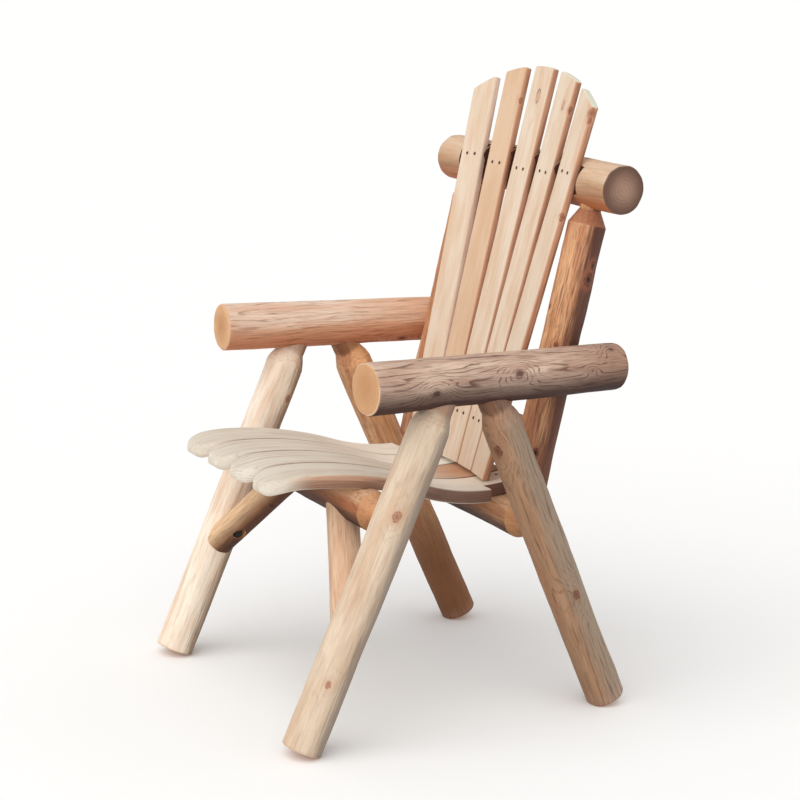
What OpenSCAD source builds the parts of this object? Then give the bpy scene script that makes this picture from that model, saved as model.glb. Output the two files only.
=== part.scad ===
// Log armchair for a dining table: peeled cedar logs joined by shouldered round tenons,
// a contoured seat of four boards and a fan back of five slats dished to fit a sitter.
// The chair stands on z = 0 and faces -Y. +X is the sitter's left. All sizes are in millimetres.

/* [Legs] */
// Diameter of the leg logs
leg_d = 72; // [64:1:80]
// Half the spacing of the front feet, at floor level
front_foot_x = 274; // [255:1:290]
// Where the front legs' axes meet the floor
front_foot_y = -312; // [-340:1:-280]
// Where the front legs' axes meet the armrests' axes
front_leg_top_y = -58; // [-75:1:-55]
// Half the spacing of the rear feet, at floor level
rear_foot_x = 262; // [250:1:280]
// Where the rear legs' axes meet the floor
rear_foot_y = 315; // [292:1:338]
// Where the rear legs' axes meet the armrests' axes
rear_leg_top_y = 14; // [12:1:30]
// Height of the levelling cut on the square-sawn end of each foot
foot_flat = 3.5; // [2:0.5:6]
// Length of the cone that narrows a leg to its tenon
leg_shoulder = 24; // [14:1:30]
// Diameter of the tenon on top of each leg
leg_tenon_d = 52; // [40:1:54]
// Length of the tenon on top of each leg
leg_tenon_len = 54; // [36:1:58]

/* [Armrests] */
// Diameter of an armrest at its front end
arm_d = 89; // [82:1:98]
// Diameter of an armrest at its rear end
arm_rear_d = 85; // [78:1:96]
// Height of the armrests' axes
arm_z = 620; // [590:1:650]
// Half the spacing of the armrests' axes at their front ends
arm_front_x = 286; // [276:1:300]
// Half the spacing of the armrests' axes at their rear ends
arm_rear_x = 256; // [252:1:270]
// Front ends of the armrests
arm_front_y = -218; // [-250:1:-180]
// Rear ends of the armrests
arm_rear_y = 290; // [270:1:330]

/* [Rails] */
// Diameter of the two seat rails
rail_d = 72; // [66:1:78]
// Height of the front seat rail's axis
front_rail_z = 389; // [380:1:400]
// Height of the rear seat rail's axis
rear_rail_z = 346; // [338:1:352]
// Diameter of the tenons on rails and back posts
tenon_d = 38; // [28:1:44]
// Length of those tenons, from the end of the shoulder cone
tenon_len = 44; // [34:1:50]
// Length of the shoulder cones on rails and back posts
shoulder = 26; // [16:1:32]
// Distance of a shoulder from the log that it meets
shoulder_gap = 1.5; // [0.5:0.5:4]

/* [Knee braces] */
// Diameter of the knee braces
brace_d = 58; // [50:1:64]
// Height at which a brace's axis meets the front leg's axis
brace_leg_z = 203; // [185:1:225]
// Distance from the middle of the chair at which it meets the front rail's axis
brace_rail_x = 92; // [80:1:105]

/* [Back] */
// Height of the top rail's axis
top_rail_z = 931; // [900:1:960]
// How far back the top rail's axis is
top_rail_y = 268; // [255:1:285]
// Diameter of the top rail
top_rail_d = 86; // [80:1:94]
// Length of the top rail
top_rail_len = 564; // [540:1:600]
// Diameter of the two back posts
post_d = 70; // [64:1:74]
// Half the spacing of the back posts
post_x = 198; // [194:1:202]
// Diameter of the lower back rail
lower_rail_d = 66; // [60:1:70]
// Distance of the lower back rail above the rear seat rail, along the posts
lower_rail_rise = 142.5; // [130:0.5:155]
// How far the lower back rail stands before the posts' axes
lower_rail_set = 8; // [6:0.5:10]

/* [Back slats] */
// Width of a back slat
slat_w = 60; // [52:1:62]
// Thickness of a back slat
slat_t = 15; // [11:1:17]
// Radius along a slat's long edges
slat_round = 4; // [2:0.5:5]
// How far the middle slat's face lies before the top rail's axis
back_set = 33; // [32:0.5:36]
// Angle by which the slats lean further back than the posts
slat_lean = 1.2; // [0.8:0.1:1.4]
// Angle in the plane of the back between one slat and the next
fan_step = 2.43; // [2:0.01:2.6]
// Angle by which one slat is turned towards the sitter from the next
dish_step = 3.85; // [3:0.05:4.2]
// Distance below the top rail of the point where the slats' middle lines meet
fan_apex = 1866; // [1800:1:1950]
// Gap left between the slats' tapered lower ends
slat_gap = 1.5; // [1:0.5:3]
// Height of the middle slat above the top rail
slat_rise = 188; // [160:1:210]
// Radius of the arc that the slats' tops are sawn to
tip_arc_r = 360; // [300:5:450]
// Gap between the slats' lower ends and the seat
slat_foot_gap = 4; // [2:0.5:8]

/* [Seat] */
// Width of a seat board
board_w = 90; // [82:1:98]
// Thickness of a seat board
board_t = 24; // [20:1:26]
// Gap between seat boards
board_gap = 3; // [2:0.5:6]
// Lowest line of the seat's hollow
hollow_y = 85; // [75:1:95]
// Height of the seat surface at the bottom of its hollow
hollow_z = 398; // [395:1:402]
// Radius of the hollow
hollow_r = 380; // [350:5:420]
// Slope between the hollow and the crest
seat_slope = 18; // [16:0.5:19]
// Radius of the crest behind its highest line
crest_r = 770; // [720:10:820]
// Radius of the front roll
roll_r = 190; // [170:5:220]
// Angle of the front roll
roll_angle = 19; // [14:1:26]
// Radius of the boards' front corners, seen from above
corner_r = 44; // [20:1:44]
// Rear ends of the seat boards
board_rear_y = 172; // [165:1:180]
// Where the outer boards are notched to pass the back posts
notch_y = 95; // [85:1:105]
// Side gap between a notch and its back post
notch_gap = 7; // [4:1:12]

/* [Fasteners] */
// Diameter of the nails
nail_d = 2.8; // [2:0.2:3.6]
// Diameter of the nail heads
nail_head_d = 6; // [5:0.2:8]
// Length of the nails in the back slats
slat_nail_len = 45; // [35:1:52]
// Length of the nails in the seat boards
seat_nail_len = 60; // [45:1:62]
// Half the spacing of the two nails across a back slat
slat_nail_x = 11; // [8:1:16]
// Height of the nails in the top rail, growing with the square of a slat's place from the middle
slat_nail_lift = 4; // [0:0.5:5]
// Half the spacing of the two nails across a seat board
board_nail_x = 24; // [18:1:28]
// Diameter of the lag screws
lag_d = 8; // [6:0.5:10]
// Length of the lag screws in the braces
brace_lag_len = 60; // [50:1:62]
// Length of the lag screws in the back posts
post_lag_len = 80; // [74:1:88]
// Diameter of the counterbores for the lag screws' heads
counterbore_d = 22; // [21:0.5:26]
// Depth of the counterbores, to the washer's seat
counterbore = 14; // [11:0.5:16]
// Distance of a brace's lag screws from the axes of the logs that it joins
brace_lag_set = 60; // [56:1:64]

/* [Fits] */
// Gap round a tenon in its mortise
tenon_fit = 0.3; // [0.1:0.05:0.6]
// Gap at the end of a mortise
mortise_end = 2; // [1:0.5:4]
// Gap round a nail or a screw in its hole
pin_fit = 0.15; // [0.1:0.05:0.3]
// Gap between a coped end or a housing and its log
cope_fit = 0.3; // [0.1:0.05:0.5]
// Gap between the seat boards and the flats that they are nailed to
bed_gap = 0.2; // [0.2:0.05:0.4]
// Chamfer round the sawn ends of the logs
end_ease = 3; // [1:0.5:5]

/* [Hidden] */
$fn = 96;
slat_count = 5;
board_count = 4;
washer_d = 18;
washer_t = 1.6;
lag_head_af = 13;
lag_head_h = 5.5;
nail_head_t = 1;
nail_tip_d = 0.6;
lag_tip_d = 2;
// Half the spacing of the two nails across the notched end of an outer seat board
notch_nail_x = 12;
// How far the cone on top of a leg is let into the armrest
leg_let_in = 3;
// Length of a slat that is sawn off at its top
sawn_off = 10;
// Overlap of neighbouring slat seats, so that no rib stands between them
seat_lap = 1;
// Largest angles between neighbouring points of the seat boards' profile, and round its nose
arc_step = 1.5;
nose_step = 15;
// How far the seat boards' plan reaches before their noses, and least half width of its front edge
nose_margin = 1;
// Longer than any cut that it is used for
far = 1000;

// Point on the segment from a to b at height z
function at_height(a, b, z) = a + (b - a) * (z - a[2]) / (b[2] - a[2]);
function unit(v) = v / norm(v);
// Point on the left armrest's axis at y
function arm_point(y) =
    [arm_front_x + (arm_rear_x - arm_front_x) * (y - arm_front_y) / (arm_rear_y - arm_front_y),
     y, arm_z];

// Ends of the left logs' axes
front_foot = [front_foot_x, front_foot_y, 0];
front_top = arm_point(front_leg_top_y);
rear_foot = [rear_foot_x, rear_foot_y, 0];
rear_top = arm_point(rear_leg_top_y);
front_rail_end = at_height(front_foot, front_top, front_rail_z);
rear_rail_end = at_height(rear_foot, rear_top, rear_rail_z);
brace_low = at_height(front_foot, front_top, brace_leg_z);
brace_high = [brace_rail_x, front_rail_end[1], front_rail_z];
post_foot = [post_x, rear_rail_end[1], rear_rail_z];
post_top = [post_x, top_rail_y, top_rail_z];
back_tilt = atan2(top_rail_y - post_foot[1], top_rail_z - rear_rail_z);
post_len = norm(post_top - post_foot);
// Distance of the lower back rail below the top rail, along the posts
lower_rail_drop = post_len - lower_rail_rise;
// Where the armrest's axis level crosses the back post's axis
post_at_arm = at_height(post_foot, post_top, arm_z);

// Seat surface: the hollow's arc, then the crest's and the front roll's, each tangent to the next
hollow_c = [hollow_y, hollow_z + hollow_r];
bend = hollow_c + hollow_r * [-sin(seat_slope), -cos(seat_slope)];
crest_c = bend - crest_r * [sin(seat_slope), cos(seat_slope)];
crest = crest_c + [0, crest_r];
roll_c = crest - [0, roll_r];
function seat_top(y) =
    y > bend[0] ? hollow_c[1] - sqrt(pow(hollow_r, 2) - pow(y - hollow_c[0], 2))
                : crest_c[1] + sqrt(pow(crest_r, 2) - pow(y - crest_c[0], 2));
function seat_angle(y) =
    y > bend[0] ? asin((y - hollow_c[0]) / hollow_r) : -asin((y - crest_c[0]) / crest_r);
function board_x(i) = (i - (board_count + 1) / 2) * (board_w + board_gap);
seat_w = board_count * board_w + (board_count - 1) * board_gap;
notch_x = post_x - post_d / 2 - notch_gap;

// Length of a slat below the top rail: the back of the middle slat, which lies back_reach before
// the top rail's axis, stops slat_foot_gap above the seat
back_reach = back_set - slat_t;
slat_tilt = back_tilt + slat_lean;
slat_foot_y = top_rail_y - (top_rail_z - hollow_z) * tan(slat_tilt) - back_reach * cos(slat_tilt);
slat_drop = (top_rail_z + back_reach * sin(slat_tilt) - seat_top(slat_foot_y) - slat_foot_gap)
            / cos(slat_tilt);

// Angle between neighbouring slats about the axis of the cone that they lie on
slat_step = norm([fan_step, dish_step]);
// Spacing of the slats at a distance z above the top rail
function slat_pitch(z) = (z + fan_apex) * tan(fan_step);

// Puts +Z along the line from a to b, with the origin at a
module along(a, b) {
    v = b - a;
    translate(a) rotate([0, acos(v[2] / norm(v)), atan2(v[1], v[0])]) children();
}

module mirrored() mirror([1, 0, 0]) children();

module both_sides() {
    children();
    mirrored() children();
}

// Outline of a sawn end of radius r, from the axis out
function sawn_end(r, z, up) = [[0, z], [r - end_ease, z], [r, z + up * end_ease]];

// Outline of a tenon and its cone. The cone starts at z, and up points to the tenon's tip
function tenon_end(r, rt, cone, len, z, up, grow) =
    [[r + grow, z], [rt + grow, z + up * cone], [rt + grow, z + up * (cone + len)],
     [0, z + up * (cone + len)]];

module turned(points) rotate_extrude() polygon(points);

// Log from z0 to z1 with sawn ends
module sawn_log(z0, z1, d0, d1)
    turned(concat(sawn_end(d0 / 2, z0, 1), [for (p = [2:-1:0]) sawn_end(d1 / 2, z1, -1)[p]]));

// Tip of a log whose cone ends at the distance neck from the origin
module tenon_tip(d, dt, cone, len, neck, grow, extra)
    turned(concat([[0, neck - cone]],
                  tenon_end(d / 2, dt / 2, cone, len + extra, neck - cone, 1, grow)));

// Log between two mortised logs, shouldered and tenoned at both ends
module tenoned_log(a, b, d, neck_a, neck_b) {
    len = norm(b - a);
    first = tenon_end(d / 2, tenon_d / 2, shoulder, tenon_len, neck_a + shoulder, -1, 0);
    along(a, b)
        turned(concat([for (p = [3:-1:0]) first[p]],
                      tenon_end(d / 2, tenon_d / 2, shoulder, tenon_len,
                                len - neck_b - shoulder, 1, 0)));
}

// Mortise for a tenon that enters the log through b, coming from a
module mortise(a, b, neck) {
    len = norm(b - a);
    along(a, b) translate([0, 0, len - neck - shoulder_gap])
        cylinder(d = tenon_d + 2 * tenon_fit, h = tenon_len + shoulder_gap + mortise_end);
}

rail_neck = leg_d / 2 + shoulder_gap;
post_low_neck = rail_d / 2 + shoulder_gap;
post_high_neck = top_rail_d / 2 + shoulder_gap;
lower_rail_neck = post_d / 2 + shoulder_gap;

// Legs

function leg_tilt(foot, top) = acos((top - foot)[2] / norm(top - foot));

// Distance from the armrest's axis to the end of a leg's cone, which is let into the armrest a little
function leg_neck(tilt) = (arm_d / 2 + leg_tenon_d / 2 * sin(tilt)) / cos(tilt) - leg_let_in;

module leg_tip(foot, top, grow, extra) {
    tilt = leg_tilt(foot, top);
    len = norm(top - foot);
    along(foot, top)
        tenon_tip(leg_d, leg_tenon_d, leg_shoulder, leg_tenon_len,
                  len - leg_neck(tilt), grow, extra);
}

module leg_log(foot, top) {
    tilt = leg_tilt(foot, top);
    len = norm(top - foot);
    end_z = (leg_d / 2 * sin(tilt) - foot_flat) / cos(tilt);
    cone_z = len - leg_neck(tilt) - leg_shoulder;
    difference() {
        along(foot, top)
            turned(concat(sawn_end(leg_d / 2, end_z, 1),
                          tenon_end(leg_d / 2, leg_tenon_d / 2, leg_shoulder, leg_tenon_len,
                                    cone_z, 1, 0)));
        translate([-far, -far, -far]) cube([2 * far, 2 * far, far]);
    }
}

module front_leg() {
    color("burlywood") difference() {
        leg_log(front_foot, front_top);
        mortise([0, front_rail_end[1], front_rail_z], front_rail_end, rail_neck);
        brace_lag_holes();
    }
}

module rear_leg() {
    color("tan") difference() {
        leg_log(rear_foot, rear_top);
        mortise([0, rear_rail_end[1], rear_rail_z], rear_rail_end, rail_neck);
    }
}

module front_leg_left() front_leg();
module front_leg_right() mirrored() front_leg();
module rear_leg_left() rear_leg();
module rear_leg_right() mirrored() rear_leg();

// Armrests: bored for two leg tenons and housed for the back post, which is screwed to it

module armrest() {
    color("peru") difference() {
        along(arm_point(arm_front_y), arm_point(arm_rear_y))
            sawn_log(0, norm(arm_point(arm_rear_y) - arm_point(arm_front_y)), arm_d, arm_rear_d);
        leg_tip(front_foot, front_top, tenon_fit, mortise_end);
        leg_tip(rear_foot, rear_top, tenon_fit, mortise_end);
        along(post_foot, post_top) cylinder(d = post_d + 2 * cope_fit, h = post_len);
        post_lag_hole();
    }
}

module armrest_left() armrest();
module armrest_right() mirrored() armrest();

// Seat rails, with flats for the boards

// Everything above the boards' underside near the rail at y
module board_bed(y) {
    a = seat_angle(y);
    translate([-seat_w / 2 - board_gap, y, seat_top(y)]) rotate([a, 0, 0])
        translate([0, -rail_d, -board_t - bed_gap])
            cube([seat_w + 2 * board_gap, 2 * rail_d, rail_d]);
}

module seat_rail(end) {
    difference() {
        tenoned_log([-end[0], end[1], end[2]], end, rail_d, rail_neck, rail_neck);
        board_bed(end[1]);
        seat_nail_holes(end[1]);
        children();
    }
}

module front_seat_rail() color("sandybrown") seat_rail(front_rail_end)
    both_sides() brace_lag_holes();

module rear_seat_rail() color("peru") seat_rail(rear_rail_end)
    both_sides() mortise(post_top, post_foot, post_low_neck);

// Knee braces, coped to the leg and to the rail

module knee_brace() {
    color("sandybrown") difference() {
        along(brace_low, brace_high) cylinder(d = brace_d, h = norm(brace_high - brace_low));
        along(front_foot, front_top)
            cylinder(d = leg_d + 2 * cope_fit, h = norm(front_top - front_foot));
        translate([0, front_rail_end[1], front_rail_z]) rotate([0, 90, 0])
            cylinder(d = rail_d + 2 * cope_fit, h = front_rail_end[0]);
        brace_lag_frames() {
            lag_hole(brace_lag_len);
            lag_counterbore();
        }
    }
}

module knee_brace_left() knee_brace();
module knee_brace_right() mirrored() knee_brace();

// Back posts

module back_post() {
    color("chocolate") difference() {
        tenoned_log(post_foot, post_top, post_d, post_low_neck, post_high_neck);
        back_frame() mortise([0, -lower_rail_set, -lower_rail_drop],
                             [post_x, -lower_rail_set, -lower_rail_drop], lower_rail_neck);
        post_lag_frame() {
            lag_hole(post_lag_len);
            lag_counterbore();
        }
    }
}

module back_post_left() back_post();
module back_post_right() mirrored() back_post();

// Frame of the back: origin in the middle of the top rail, +Z up along the posts, -Y forward
module back_frame() translate([0, top_rail_y, top_rail_z]) rotate([-back_tilt, 0, 0]) children();

// The same frame, leaning back with the slats
module lean_frame() back_frame() rotate([-slat_lean, 0, 0]) children();

// Place of slat i, counted from the middle one towards the sitter's left
function slat_place(i) = i - (slat_count + 1) / 2;

// Frame of slat i, counted from the sitter's right: its face is at y = 0 and its back at y = slat_t
module slat_frame(i) {
    n = slat_place(i);
    lean_frame() translate([0, -back_set, -fan_apex])
        rotate(a = n * slat_step, v = [0, fan_step, -dish_step])
            translate([0, 0, fan_apex]) children();
}

// Flat seats for the slats, hollowing the front of a rail at a distance z above the top rail
module slat_seats(z, d) {
    for (i = [1:slat_count]) {
        w = slat_pitch(z) + (i == 1 || i == slat_count ? 0 : seat_lap);
        slat_frame(i) translate([-w / 2, slat_t - d, z - d]) cube([w, d, 2 * d]);
    }
}

module top_rail() {
    color("sandybrown") difference() {
        back_frame() rotate([0, 90, 0])
            sawn_log(-top_rail_len / 2, top_rail_len / 2, top_rail_d, top_rail_d);
        slat_seats(0, top_rail_d);
        slat_nail_holes(0);
        both_sides() mortise(post_foot, post_top, post_high_neck);
    }
}

module lower_back_rail() {
    color("peru") difference() {
        back_frame()
            tenoned_log([-post_x, -lower_rail_set, -lower_rail_drop],
                        [post_x, -lower_rail_set, -lower_rail_drop],
                        lower_rail_d, lower_rail_neck, lower_rail_neck);
        slat_seats(-lower_rail_drop, lower_rail_d);
        slat_nail_holes(-lower_rail_drop);
    }
}

// Back slats

// Cross-section of a slat, with rounded edges
module slat_section() {
    translate([-slat_w / 2, slat_round]) square([slat_w, slat_t - 2 * slat_round]);
    translate([-slat_w / 2 + slat_round, 0]) square([slat_w - 2 * slat_round, slat_t]);
    for (x = [-1, 1], y = [slat_round, slat_t - slat_round])
        translate([x * (slat_w / 2 - slat_round), y]) circle(r = slat_round);
}

// Tapers a slat's lower end, where the fan leaves it no more room
module slat_taper() {
    low = -slat_drop - 1;
    high = slat_rise + sawn_off;
    function half(z) = (slat_pitch(z) - slat_gap) / 2;
    rotate([90, 0, 0]) translate([0, 0, -far / 2]) linear_extrude(far)
        polygon([[-half(low), low], [half(low), low], [half(high), high], [-half(high), high]]);
}

module back_slat(i) {
    color("wheat") difference() {
        intersection() {
            slat_frame(i) slat_taper();
            slat_frame(i) translate([0, 0, -slat_drop])
                linear_extrude(slat_drop + slat_rise + sawn_off) slat_section();
            lean_frame() translate([0, far / 2, slat_rise - tip_arc_r]) rotate([90, 0, 0])
                union() {
                    cylinder(r = tip_arc_r, h = far, $fn = 180);
                    translate([-tip_arc_r, -far, 0]) cube([2 * tip_arc_r, far, far]);
                }
        }
        for (z = [0, -lower_rail_drop]) slat_nail_frames(i, z) nail_hole(slat_nail_len);
    }
}

// Seat boards

// Points along an arc about c, after its first point
function arc_points(c, r, a0, a1, step = arc_step) =
    let (n = ceil(abs(a1 - a0) / step), a = (a1 - a0) / n)
    [for (k = [1:n]) c + r * [cos(a0 + k * a), sin(a0 + k * a)]];

// Point of the hollow's arc of radius r at the boards' rear ends, and its angle
function rear_angle(r) = asin((board_rear_y - hollow_y) / r) - 90;
function rear_point(r) = hollow_c + r * [cos(rear_angle(r)), sin(rear_angle(r))];

// Side view of a seat board, y to the right and z up: its top from the rear end to the nose,
// the nose, and its underside back to the rear end
module board_profile() {
    low_r = hollow_r + board_t;
    front = 90 + roll_angle;
    nose = roll_c + (roll_r - board_t / 2) * [cos(front), sin(front)];
    polygon(concat(
        [rear_point(hollow_r)],
        arc_points(hollow_c, hollow_r, rear_angle(hollow_r), -90 - seat_slope),
        arc_points(crest_c, crest_r, 90 - seat_slope, 90),
        arc_points(roll_c, roll_r, 90, front),
        arc_points(nose, board_t / 2, front, front + 180, nose_step),
        arc_points(roll_c, roll_r - board_t, front, 90),
        arc_points(crest_c, crest_r - board_t, 90, 90 - seat_slope),
        arc_points(hollow_c, low_r, -90 - seat_slope, rear_angle(low_r))));
}

// Outline of a seat board from above, rounded at its front corners. Its front edge lies a little
// before the nose, so that it never touches the nose at a tangent
module board_plan() {
    r = min(corner_r, board_w / 2 - nose_margin);
    nose_y = roll_c[0] - (roll_r - board_t / 2) * sin(roll_angle) - board_t / 2;
    front_y = nose_y - nose_margin;
    translate([-board_w / 2, front_y + r]) square([board_w, far]);
    translate([-board_w / 2 + r, front_y]) square([board_w - 2 * r, far]);
    for (x = [-1, 1])
        translate([x * (board_w / 2 - r), front_y + r]) circle(r = r);
}

module seat_board(i) {
    color("wheat") difference() {
        intersection() {
            translate([board_x(i) - board_w / 2, 0, 0]) rotate([90, 0, 90])
                linear_extrude(board_w) board_profile();
            translate([board_x(i), 0, 0]) linear_extrude(far) board_plan();
        }
        both_sides() translate([notch_x, notch_y, 0]) cube(far);
        seat_nail_holes(front_rail_end[1]);
        seat_nail_holes(rear_rail_end[1]);
    }
}

// Fasteners

// Nail along +Z with its head flush with z = 0
module nail(len) {
    cylinder(d = nail_d, h = len - nail_d);
    cylinder(d = nail_head_d, h = nail_head_t);
    translate([0, 0, len - nail_d]) cylinder(d1 = nail_d, d2 = nail_tip_d, h = nail_d);
}

module nail_hole(len) {
    translate([0, 0, -1]) cylinder(d = nail_head_d + 2 * pin_fit, h = 1 + nail_head_t + pin_fit);
    cylinder(d = nail_d + 2 * pin_fit, h = len + pin_fit);
}

// Places two nails in the face of slat i, in the top rail (z = 0) or in the lower back rail
module slat_nail_frames(i, z) {
    lift = z == 0 ? slat_nail_lift * pow(slat_place(i), 2) : 0;
    for (x = [-slat_nail_x, slat_nail_x])
        slat_frame(i) translate([x, 0, z + lift]) rotate([-90, 0, 0]) children();
}

module slat_nails(z)
    color("dimgray") for (i = [1:slat_count]) slat_nail_frames(i, z) nail(slat_nail_len);

module slat_nail_holes(z)
    for (i = [1:slat_count]) slat_nail_frames(i, z) nail_hole(slat_nail_len);

// Where the two nails lie across seat board i at y
function nail_spots(i, y) =
    let (notched = y > notch_y && (i == 1 || i == board_count),
         strip = (seat_w / 2 - board_w + notch_x) / 2,
         middle = notched ? sign(board_x(i)) * strip : board_x(i),
         half = notched ? notch_nail_x : board_nail_x)
    [middle - half, middle + half];

// Places nails square to the seat surface above the rail at y
module seat_nail_frames(y) {
    for (i = [1:board_count], x = nail_spots(i, y))
        translate([x, y, seat_top(y)]) rotate([180 + seat_angle(y), 0, 0]) children();
}

module seat_nails(y) color("dimgray") seat_nail_frames(y) nail(seat_nail_len);
module seat_nail_holes(y) seat_nail_frames(y) nail_hole(seat_nail_len);

module upper_slat_nails() slat_nails(0);
module lower_slat_nails() slat_nails(-lower_rail_drop);
module front_seat_nails() seat_nails(front_rail_end[1]);
module rear_seat_nails() seat_nails(rear_rail_end[1]);

// Lag screw along +Z, its head under a washer's seat at z = 0
module lag_screw(len) {
    cylinder(d = lag_d, h = len - lag_d / 2);
    translate([0, 0, len - lag_d / 2]) cylinder(d1 = lag_d, d2 = lag_tip_d, h = lag_d / 2);
    translate([0, 0, -washer_t - lag_head_h])
        cylinder(d = lag_head_af / cos(30), h = lag_head_h, $fn = 6);
    translate([0, 0, -washer_t - 1]) cylinder(d = lag_d, h = washer_t + 2);
}

module lag_washer() {
    translate([0, 0, -washer_t]) difference() {
        cylinder(d = washer_d, h = washer_t);
        translate([0, 0, -1]) cylinder(d = lag_d + 2 * pin_fit, h = washer_t + 2);
    }
}

module lag_hole(len) cylinder(d = lag_d + 2 * pin_fit, h = len + pin_fit);
module lag_counterbore() translate([0, 0, -far / 10]) cylinder(d = counterbore_d, h = far / 10);

// Frame of a brace's lag screw. The screw runs square to the axis of the log through log_point,
// whose direction is log_dir, and crosses the brace's axis at brace_lag_set from that point
module brace_lag_frame(log_point, log_dir, brace_dir) {
    across = brace_dir - (brace_dir * log_dir) * log_dir;
    sink = brace_d / 2 / norm(cross(unit(across), brace_dir));
    start = log_point + brace_lag_set * brace_dir + (sink - counterbore) * unit(across);
    along(start, start - unit(across)) children();
}

module brace_lag_frames() {
    up = unit(brace_high - brace_low);
    brace_lag_frame(brace_low, unit(front_top - front_foot), up) children();
    brace_lag_frame(brace_high, [1, 0, 0], -up) children();
}

// Pilot holes of the braces' lag screws in a log
module brace_lag_holes() brace_lag_frames() lag_hole(brace_lag_len);

module post_lag_frame()
    translate(post_at_arm + [-post_d / 2 + counterbore, 0, 0]) rotate([0, 90, 0]) children();

module post_lag_hole() post_lag_frame() lag_hole(post_lag_len);

module brace_lag_screws() color("dimgray") both_sides() brace_lag_frames() lag_screw(brace_lag_len);
module post_lag_screws() color("dimgray") both_sides() post_lag_frame() lag_screw(post_lag_len);

module lag_washers() {
    color("gray") both_sides() {
        brace_lag_frames() lag_washer();
        post_lag_frame() lag_washer();
    }
}

front_leg_left();
front_leg_right();
rear_leg_left();
rear_leg_right();
armrest_left();
armrest_right();
front_seat_rail();
rear_seat_rail();
knee_brace_left();
knee_brace_right();
back_post_left();
back_post_right();
top_rail();
lower_back_rail();
for (i = [1:slat_count]) back_slat(i);
for (i = [1:board_count]) seat_board(i);
upper_slat_nails();
lower_slat_nails();
front_seat_nails();
rear_seat_nails();
brace_lag_screws();
post_lag_screws();
lag_washers();
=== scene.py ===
"""Looks of the log dining armchair: peeled logs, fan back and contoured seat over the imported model.

Logs and boards are lofted here from the same axes and sections as the CAD solids, then worked with
draw-knife facets, lumps and knots. Lengths are in millimetres, in the frame of the CAD model, and a
mesh is scaled to metres when it is made.
"""
import math

import bmesh
import bpy
import numpy as np
from mathutils import Matrix, Vector


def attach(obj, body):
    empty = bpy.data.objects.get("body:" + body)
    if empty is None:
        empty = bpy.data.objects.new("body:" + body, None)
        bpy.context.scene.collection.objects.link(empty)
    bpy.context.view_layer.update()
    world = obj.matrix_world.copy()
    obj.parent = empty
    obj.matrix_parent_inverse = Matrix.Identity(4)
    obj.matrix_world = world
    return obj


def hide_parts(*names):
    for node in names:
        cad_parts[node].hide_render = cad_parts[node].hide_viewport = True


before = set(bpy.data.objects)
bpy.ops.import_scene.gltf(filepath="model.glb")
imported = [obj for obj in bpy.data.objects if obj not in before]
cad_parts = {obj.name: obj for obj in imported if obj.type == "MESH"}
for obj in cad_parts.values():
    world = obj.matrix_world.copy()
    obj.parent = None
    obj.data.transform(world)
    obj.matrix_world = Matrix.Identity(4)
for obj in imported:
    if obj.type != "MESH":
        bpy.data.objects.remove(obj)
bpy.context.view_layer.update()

MM = 0.001

# Sizes, as in the CAD model

LEG_R, ARM_R, ARM_REAR_R, RAIL_R, BRACE_R = 36.0, 44.5, 42.5, 36.0, 29.0
TOP_RAIL_R, TOP_RAIL_LEN, POST_R = 43.0, 564.0, 35.0
LOWER_RAIL_R, LOWER_RAIL_RISE, LOWER_RAIL_SET = 33.0, 142.5, 8.0
LEG_TENON_R, LEG_TENON_LEN, LEG_SHOULDER, LEG_LET_IN = 26.0, 54.0, 24.0, 3.0
TENON_R, TENON_LEN, SHOULDER, SHOULDER_GAP = 19.0, 44.0, 26.0, 1.5
FOOT_FLAT, END_EASE = 3.5, 3.0
SLAT_W, SLAT_T, SLAT_ROUND, SLAT_GAP, SLAT_RISE = 60.0, 15.0, 4.0, 1.5, 188.0
TIP_ARC_R, SLAT_FOOT_GAP = 360.0, 4.0
BACK_SET, FAN_STEP, DISH_STEP, FAN_APEX = 33.0, 2.43, 3.85, 1866.0
SLAT_LEAN = math.radians(1.2)
BOARD_W, BOARD_T, BOARD_GAP, BOARD_REAR_Y, BED_GAP = 90.0, 24.0, 3.0, 172.0, 0.2
HOLLOW_Y, HOLLOW_Z, HOLLOW_R, CREST_R, ROLL_R = 85.0, 398.0, 380.0, 770.0, 190.0
SEAT_SLOPE, ROLL_ANGLE, CORNER_R, NOSE_MARGIN = math.radians(18), math.radians(19), 44.0, 1.0
NOTCH_X, NOTCH_Y = 156.0, 95.0
COUNTERBORE_D, COUNTERBORE, LAG_SET = 22.0, 14.0, 60.0
# How far a board's visible face lies under its nails' heads, and over the filled front nails
HEAD_PROUD, FILL = 0.25, 0.15
# How far a coped end reaches into its log, so that no facet opens the joint
COPE_SINK = 3.0
# How far cutters reach past what they cut, and half the length of the bed that they clear
PAST, BED_HALF = 60.0, 70.0
# Where the logs' axes run
ARM_FRONT_X, ARM_IN, ARM_FRONT_Y, ARM_BACK_Y, ARM_Z = 286.0, 30.0, -218.0, 290.0, 620.0
FRONT_RAIL_Z, REAR_RAIL_Z, POST_X, TOP_RAIL_Y, TOP_RAIL_Z = 389.0, 346.0, 198.0, 268.0, 931.0
MIRROR = np.array([-1.0, 1.0, 1.0])


def unit(v):
    return np.asarray(v, float) / np.linalg.norm(v)


def at_height(a, b, z):
    return a + (b - a) * (z - a[2]) / (b[2] - a[2])


def arm_point(y):
    """Point of an armrest's axis. The armrests close in by ARM_IN towards the back."""
    share = (y - ARM_FRONT_Y) / (ARM_BACK_Y - ARM_FRONT_Y)
    return np.array([ARM_FRONT_X - ARM_IN * share, y, ARM_Z])


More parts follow.
